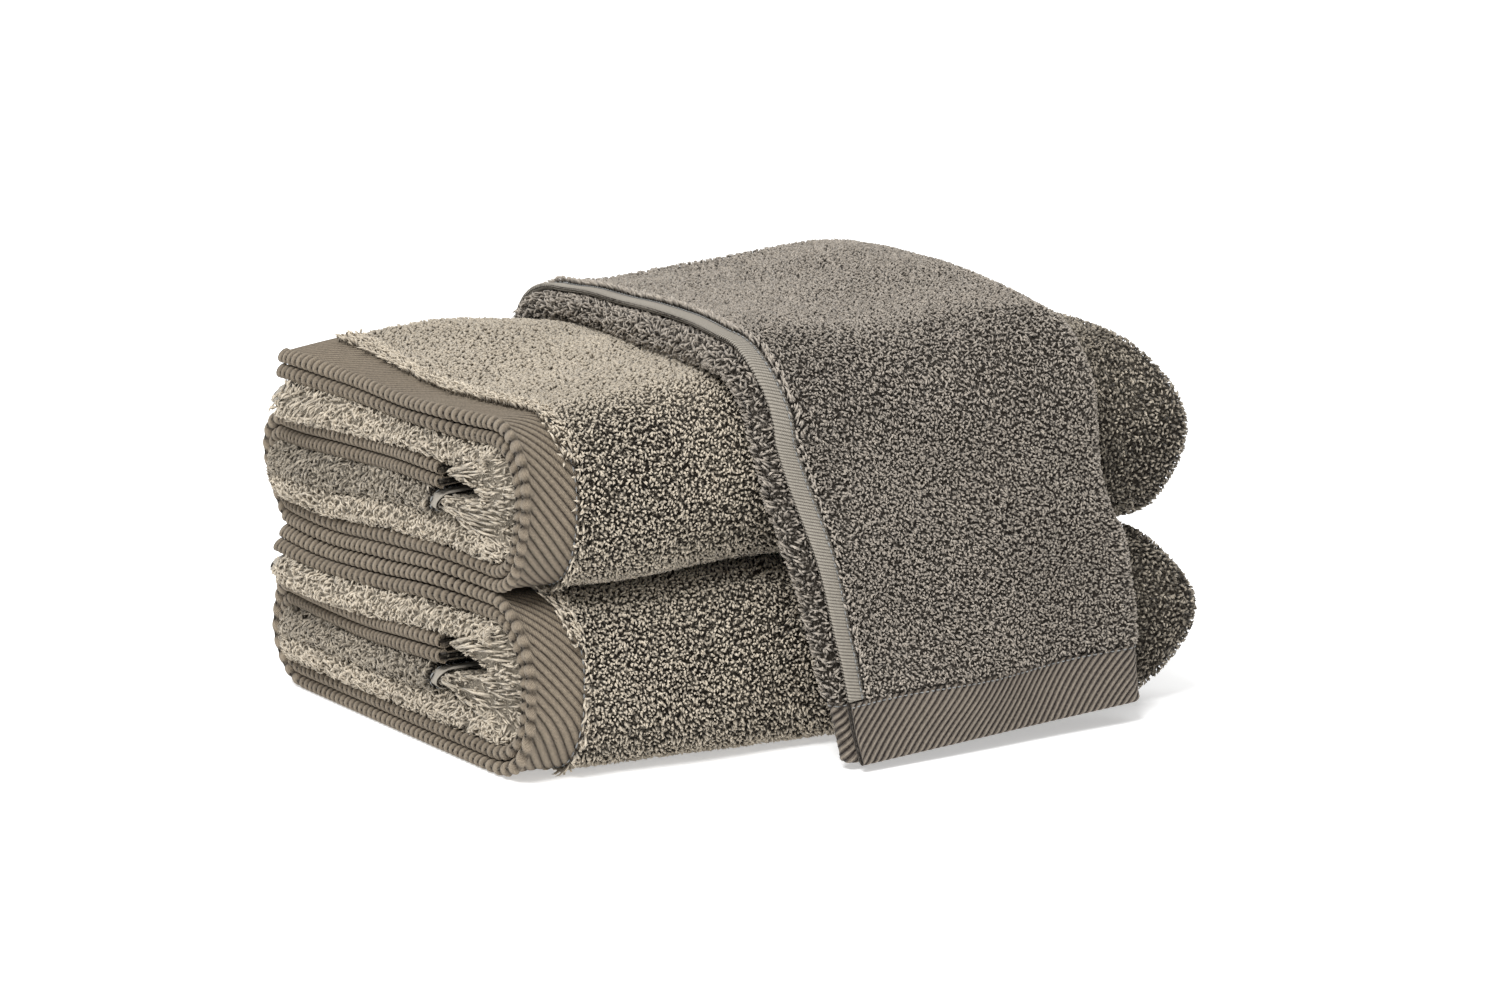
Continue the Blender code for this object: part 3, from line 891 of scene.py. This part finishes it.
def plantPile(name, towel, aSpan, sSpan, pile):
    # loops on a jittered grid over a patch of cloth; each rises from its root and leans over,
    # and deep is how much of its tone the painted shade at the root leaves
    cloth = cloths[towel]
    rng = np.random.default_rng(pile["seed"])
    step = 0.01 / math.sqrt(pile["perSquareCm"])
    counts = [max(1, round((span[1] - span[0]) / step)) for span in (aSpan, sSpan)]
    i, j = [grid.ravel() for grid in np.meshgrid(*[np.arange(n) for n in counts], indexing="ij")]
    total = len(i)
    jitter = rng.uniform(-growth["jitter"], growth["jitter"], (2, total))
    stagger = growth["stagger"] * (2 * (j % 2) - 1)
    a = np.clip(aSpan[0] + (i + 0.5 + stagger + jitter[0]) * step, *aSpan)
    s = np.clip(sSpan[0] + (j + 0.5 + jitter[1]) * step, *sSpan)
    height = pile["height"] * rng.uniform(*growth["height"], total)
    angle = rng.uniform(0, 2 * math.pi, total)
    reach = height * pile["lean"] * rng.uniform(*growth["reach"], total)
    da = reach * np.cos(angle) + pile.get("combA", 0.0) * height
    ds = reach * np.sin(angle) + pile.get("combS", 0.0) * height
    bottom = pile.get("root", growth["root"])

    def at(leant, risen):
        return cloth["point"](a + leant * da, s + leant * ds, bottom + risen * height)

    root = cloth["point"](a, s, bottom)
    low, high, tip = at(*growth["low"]), at(*growth["high"]), at(*growth["tip"])
    radius = pile["width"] / 2 * rng.uniform(*growth["width"], total)
    grain = pile.get("grain", False)
    points = loopShapes(root, low, high, tip, radius, rng, grain)
    own = pile["tone"] + rng.normal(0.0, pile["spread"], total)
    rise = grainRise if grain else loopRise
    deep = np.full(total, pile["deep"])
    # painted light: towards the top, the root shade and the tone turn into the top pile's
    if "topLightFrom" in pile:
        underTopLight = smooth((s - pile["topLightFrom"]) / pile["topLightOver"])
        deep = deep + (topPile["deep"] - deep) * underTopLight
        own = own + (topPile["tone"] - own) * pile["topLightShare"] * underTopLight
    # painted shade: each loop darkens from its tip down to its root, less so the higher deep
    shade = (deep[:, None] + (1.0 - deep[:, None]) * rise[None]) * own[:, None]
    parts = max(1, math.ceil(total / growth["mostInPiece"]))
    order = np.argsort(j, kind="stable")
    corners, faces = points.shape[1], grainFaces if grain else loopFaces
    for part, chosen in enumerate(np.array_split(order, parts)):
        shifted = faces[None] + corners * np.arange(len(chosen))[:, None, None]
        piece = buildMesh(
            f"{name}_{part + 1}" if parts > 1 else name,
            points[chosen], [shifted.reshape(-1, 3)], finishes[cloth["kind"] + "Pile"],
            cloth["body"], shade=shade[chosen],
        )
        withCloth[towel].append(piece)
    return total


def plantPiles(towel, patches, firstSeed):
    # a label, the spans of the cloth, a kind of pile and what is different about it for each
    count = 0
    for number, (label, aSpan, sSpan, pile, changes) in enumerate(patches):
        settings = {**pile, **changes, "seed": firstSeed + 10 * number}
        count += plantPile(f"{towel}_{label}", towel, aSpan, sSpan, settings)
    return count


# the face piles' dark roots are painted shade, and the top pile's paler roots are painted light
# from above
facePile = {"perSquareCm": 53, "height": 0.0026, "width": 0.0014, "lean": 0.62, "grain": True,
            "tone": 0.98, "spread": 0.20, "deep": 0.0}
topPile = {"perSquareCm": 44, "height": 0.0026, "width": 0.0017, "lean": 0.9, "grain": True,
           "tone": 0.71, "spread": 0.07, "deep": 0.66}
foldPile = {"perSquareCm": 58, "height": 0.0044, "width": 0.0013, "lean": 0.5,
            "tone": 0.80, "spread": 0.09, "deep": 0.52}
fringePile = {"perSquareCm": 46, "height": 0.0048, "width": 0.0012, "lean": 0.55,
              "tone": 0.95, "spread": 0.12, "deep": 0.2}
handFace = {"perSquareCm": 52, "height": 0.0024, "width": 0.0012, "lean": 0.9, "grain": True,
            "tone": 0.86, "spread": 0.17, "deep": 0.08}

# a pile towards the top's light turns into the top's tones over the front bend, its painted root
# shade fading into the top's painted light; a sparse one is hidden or behind; the patch edges are
# how far a patch goes past a bend or fold
towardsTopLight = {
    "topLightFrom": frontBend[1] - ground["topEarly"],
    "topLightOver": ground["topOver"],
    "topLightShare": 0.7,
}
sparse = {"perSquareCm": 20, "width": 0.0021}
patchEdges = {
    "underFront": 0.02,
    "overHidden": 0.02,
    "besideTurn": 0.045,
    "beforeFold": 0.016,
    "afterFold": 0.014,
    "beforeBack": 0.008,
    "afterBack": 0.012,
    "foldOverlap": 0.01,
    "fringe": 0.0016,
    "topFringe": 0.0070,
    "topFringeEarly": 0.03,
}

print("pile")
planted = 0
field = (hem["depth"] + hem["gap"], bath["length"] - hem["depth"] - hem["gap"])
sideField = (hem["sideWidth"] + hem["gap"], bath["width"] - hem["sideWidth"] - hem["gap"])
seen = (field[0], bath["seenTo"])
covered = (bath["seenTo"], turnX - patchEdges["besideTurn"])
backSpan = (backBend[0] - patchEdges["beforeBack"], backBend[1] + patchEdges["afterBack"])
foldSpan = (leftFold[0] - patchEdges["beforeFold"], leftFold[1] + patchEdges["afterFold"])
foldTurn = backBend[1] - patchEdges["foldOverlap"]
fringeSpan = (field[0] - patchEdges["fringe"], field[0] + patchEdges["fringe"])
topFringeSpan = (field[0] - patchEdges["topFringe"], field[0] + patchEdges["fringe"])
for order, towel in enumerate(("lower", "upper")):
    hidden = towel == "lower"
    bendTop = frontBend[1] + (patchEdges["overHidden"] if hidden else 0.0)
    frontSpan = (frontBend[0] - patchEdges["underFront"], bendTop)
    topSpan = (bendTop, sideField[1])
    patches = [
        ("front_pile", seen, frontSpan, facePile, towardsTopLight),
        ("covered_front_pile", covered, frontSpan, facePile, sparse),
        ("top_pile", seen, topSpan, topPile, sparse if hidden else {}),
        ("covered_top_pile", covered, topSpan, topPile, sparse),
        ("back_pile", (field[0], turnX), backSpan, topPile, {"perSquareCm": 20, "deep": 0.1}),
        # the right end's darker pile is painted shade, away from the key light at the left
        ("right_pile", (turnX - patchEdges["besideTurn"], rightTurn[1]), sideField, facePile,
         {"tone": 0.42, "perSquareCm": 46}),
        ("fold_pile", foldSpan, (foldTurn, sideField[1]), foldPile, {}),
        # the inner fold's darker pile and darker roots are painted shade inside the roll
        ("inner_fold_pile", foldSpan, (sideField[0], foldTurn), foldPile,
         {"tone": 0.52, "deep": 0.08}),
        ("hem_fringe", fringeSpan, (frontSpan[0], frontBend[1]), fringePile, {"combA": -0.45}),
        ("top_fringe", topFringeSpan, (frontBend[1] - patchEdges["topFringeEarly"], sideField[1]),
         fringePile, {"combA": -0.45, "root": 0.0016}),
    ]
    planted += plantPiles(towel, patches, 100 * order + 7)

handField = (hem["depth"] + hem["gap"], hand["length"] - hem["depth"] - hem["gap"])
overBack = frontHang + math.pi * handRadius / 2 + handBackY - handFrontY - 2 * handRadius
handEdges = {"pastHem": 0.0015, "pastFold": 0.004, "fringeIn": 0.0004, "fringeOut": 0.0022}
facing = (hem["sideWidth"] + handEdges["pastHem"], handRightTurn[0])
leftSpan = (
    handLeftFold[0] - handEdges["pastFold"],
    handLeftFold[1] + hand["inset"] + handEdges["pastFold"],
)
sideFringeSpan = (
    hem["sideWidth"] - handEdges["fringeIn"], hem["sideWidth"] + handEdges["fringeOut"]
)
patches = [
    ("front_pile", facing, (handField[0], overBack), handFace, {}),
    ("tail_pile", facing, (overBack, handField[1]), handFace, {"perSquareCm": 20}),
    ("right_pile", handRightTurn, handField, handFace, {"tone": 0.9}),
    ("left_pile", leftSpan, handField, fringePile,
     {"tone": 0.82, "height": 0.0034, "perSquareCm": 40, "combS": 0.4}),
    ("side_fringe", sideFringeSpan, handField, fringePile,
     {"combA": -0.2, "combS": 0.5, "height": 0.0036}),
]
planted += plantPiles("draped", patches, 300)
print("loops planted:", planted)

# a rib's round ridge, the rope's bumps on the rolled edge, and the thin line along a hem's end
# into which ribs that would run past it are squeezed
ribShape = {
    "rollPoints": 9,
    "rollMargin": 1.5,
    "ridgePower": 0.45,
    "ropeSlant": 0.8,
    "ropePower": 0.6,
    "level": 0.6,
    "tone": 0.9,
    "rim": 0.0004,
    "squeezeOver": 0.1,
    "squeezeMost": 0.09,
}


def hemSection(depth, half, roll, faceRows, backRows):
    # from the inner edge along the outer face, round the roll and back underneath:
    # columns are distance from the edge, lift, the two parts of the outward direction, and
    # how far round the section the point is, counted from the roll's outermost point
    angle = np.linspace(math.pi / 2, 1.5 * math.pi, ribShape["rollPoints"])
    face = np.linspace(depth, roll * ribShape["rollMargin"], faceRows)
    back = face[:: max(1, faceRows // backRows)][::-1]
    flat = np.ones(len(face))
    low = np.ones(len(back))
    fromEdge = np.concatenate([face, roll + roll * np.cos(angle), back])
    lift = np.concatenate([half * flat, roll * np.sin(angle), -half * low])
    outAcross = np.concatenate([0 * flat, np.cos(angle), 0 * low])
    outLift = np.concatenate([flat, np.sin(angle), -low])
    gone = np.concatenate([[0.0], np.cumsum(np.hypot(np.diff(fromEdge), np.diff(lift)))])
    outermost = len(face) + ribShape["rollPoints"] // 2
    return fromEdge, lift, outAcross, outLift, gone - gone[outermost]


def ribbedHem(name, towel, place, run, section, ribs, material):
    # columns follow the ribs, which lean by slant; each rises in a round ridge between
    # sharp valleys, its tone darker towards them as painted shade. place(across, run, lift) gives
    # a point of the cloth
    fromEdge, lift, outAcross, outLift, q = section
    beyond = math.ceil(abs(ribs["slant"]) * np.abs(q).max() / ribs["pitch"])
    count = max(2, round((run[1] - run[0]) / ribs["pitch"])) + 2 * beyond
    share = np.array(ribs["steps"])
    t = (np.arange(count)[:, None] + share[None]).ravel() - beyond
    t = run[0] + np.append(t, count - beyond) * (run[1] - run[0]) / (count - 2 * beyond)
    follow = t[None] + ribs["slant"] * q[:, None]
    rim = ribShape["rim"]
    early, late = follow - run[0] - rim, run[1] - rim - follow
    most, over = ribShape["squeezeMost"], ribShape["squeezeOver"]
    follow = np.where(early < 0.0, run[0] + rim * (1.0 + np.maximum(early, -most) / over), follow)
    follow = np.where(late < 0.0, run[1] - rim * (1.0 + np.maximum(late, -most) / over), follow)
    wave = np.append(np.tile(np.sin(math.pi * share) ** ribShape["ridgePower"], count), 0.0)
    wave = np.broadcast_to(wave[None], follow.shape)
    rolled = (outAcross != 0.0)[:, None]
    if "ropePitch" in ribs:
        turned = math.pi * (t[None] + ribShape["ropeSlant"] * q[:, None]) / ribs["ropePitch"]
        wave = np.where(rolled, np.abs(np.sin(turned)) ** ribShape["ropePower"], wave)
    swell = np.where(rolled, ribs["edgeDepth"], ribs["depth"]) * (wave - ribShape["level"])
    across = fromEdge[:, None] + swell * outAcross[:, None]
    height = lift[:, None] + swell * outLift[:, None]
    points = place(across, follow, height)
    rows, columns = follow.shape
    caps = [np.arange(rows)[None] * columns, np.arange(rows)[None, ::-1] * columns + columns - 1]
    # painted shade: the tone falls from each ridge into the valleys, the more the higher the power
    tone = ribShape["tone"] * wave ** ribs["valleyShade"]
    piece = buildMesh(
        name, points, [gridFaces(rows, columns, wrap=True), caps[0], caps[1]], material,
        cloths[towel]["body"], shade=tone,
        flatUv=np.stack([follow, np.broadcast_to(q[:, None], follow.shape)], -1),
    )
    withCloth[towel].append(piece)
    return piece


broadSteps = (0.0, 0.09, 0.27, 0.5, 0.73, 0.91)
ropeRibs = {"pitch": 0.0041, "steps": broadSteps, "slant": 0.9, "depth": 0.0009,
            "edgeDepth": 0.0017, "ropePitch": 0.0049, "valleyShade": 1.6}
plainRibs = {"pitch": 0.004, "steps": (0.5,), "slant": 0.0, "depth": 0.0, "edgeDepth": 0.0,
             "valleyShade": 1.6}
boldRibs = {"pitch": 0.0042, "steps": broadSteps, "slant": -1.15, "depth": 0.0009,
            "edgeDepth": 0.0009, "valleyShade": 7.0}
sideRibs = {"pitch": 0.0014, "steps": (0.0, 0.33, 0.67), "slant": 0.25, "depth": 0.0002,
            "edgeDepth": 0.0002, "valleyShade": 1.6}
stitch = {"seed": 5, "pitch": 0.0030, "half": 0.0013, "topHalf": 0.0005, "sink": 0.0004,
          "radius": 0.0004, "tone": 0.7, "inset": 0.0016}


def stitchRow(name, towel, place, fromEdge, run, lift):
    # short threads end to end, each a small loop shape sunk at both ends
    rng = np.random.default_rng(stitch["seed"])
    count = int((run[1] - run[0]) / stitch["pitch"])
    t = run[0] + (np.arange(count) + 0.5) * (run[1] - run[0]) / count
    half, topHalf, sunk = stitch["half"], stitch["topHalf"], lift - stitch["sink"]
    points = loopShapes(
        place(fromEdge, t - half, sunk), place(fromEdge, t - topHalf, lift),
        place(fromEdge, t + topHalf, lift), place(fromEdge, t + half, sunk),
        np.full(count, stitch["radius"]), rng,
    )
    faces = loopFaces[None] + 8 * np.arange(count)[:, None, None]
    piece = buildMesh(
        name, points, [faces.reshape(-1, 3)], finishes["thread"], cloths[towel]["body"],
        shade=np.full((count, 8), stitch["tone"]),
    )
    withCloth[towel].append(piece)
    return piece


def edgePlace(point, crossesA, farEdge):
    # the cloth beside one of its edges, by the distance in from the edge and along it; the way
    # in runs along a or s, from the cloth's start or back from the far edge
    def place(across, run, lift):
        inward = farEdge - across if farEdge else across
        return point(inward, run, lift) if crossesA else point(run, inward, lift)

    return place


# what differs from hem to hem: where it lies, its section and ribs, its finish and its seam
def endHem(crossesA, farEdge, width, roll, faceRows, ribs, kind):
    section = hemSection(hem["depth"], hem["thickness"] / 2, roll, faceRows, 4)
    return {"crossesA": crossesA, "farEdge": farEdge, "run": (0.0, width), "section": section,
            "ribs": ribs, "finish": kind + "Twill", "slot": kind + "_twill",
            "seamAt": hem["depth"] - stitch["inset"], "seamLift": 0.0021}


def sideHem(crossesA, farEdge, run, ribs, seamLift):
    section = hemSection(hem["sideWidth"], hem["sideThickness"] / 2, hem["sideRoll"], 4, 4)
    return {"crossesA": crossesA, "farEdge": farEdge, "run": run, "section": section,
            "ribs": ribs, "finish": "sideTwill", "slot": "side_twill",
            "seamAt": hem["sideWidth"] - stitch["inset"], "seamLift": seamLift}


print("hems and seams")
bathHems = {
    "outer_end": endHem(True, None, bath["width"], hem["roll"], 8, ropeRibs, "bath"),
    "inner_end": endHem(True, bath["length"], bath["width"], hem["roll"], 4, ropeRibs, "bath"),
    "inner_side": sideHem(False, None, field, plainRibs, 0.0018),
    "outer_side": sideHem(False, bath["width"], field, plainRibs, 0.0018),
}
handHems = {
    "front_end": endHem(False, None, hand["width"], hem["handRoll"], 9, boldRibs, "hand"),
    "back_end": endHem(False, hand["length"], hand["width"], hem["handRoll"], 9, boldRibs, "hand"),
    "top_side": sideHem(True, None, handField, sideRibs, 0.0019),
    "hidden_side": sideHem(True, hand["width"], handField, plainRibs, 0.0019),
}
for towel, cloth in cloths.items():
    for label, edge in (bathHems if cloth["kind"] == "bath" else handHems).items():
        place = edgePlace(cloth["point"], edge["crossesA"], edge["farEdge"])
        piece = ribbedHem(f"{towel}_{label}_twill", towel, place, edge["run"], edge["section"],
                          edge["ribs"], finishes[edge["finish"]])
        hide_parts(f"{towel}_{label}_hem")
        piece = stitchRow(f"{towel}_{label}_stitches", towel, place, edge["seamAt"], edge["run"],
                          edge["seamLift"])
        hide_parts(f"{towel}_{label}_seam")

for towel in ("lower", "upper"):
    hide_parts(f"{towel}_terry")
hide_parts("draped_terry")

triangles = [len(piece.data.loops) - 2 * len(piece.data.polygons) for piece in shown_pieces()]
print("triangles:", sum(triangles), "most in one piece:", max(triangles))
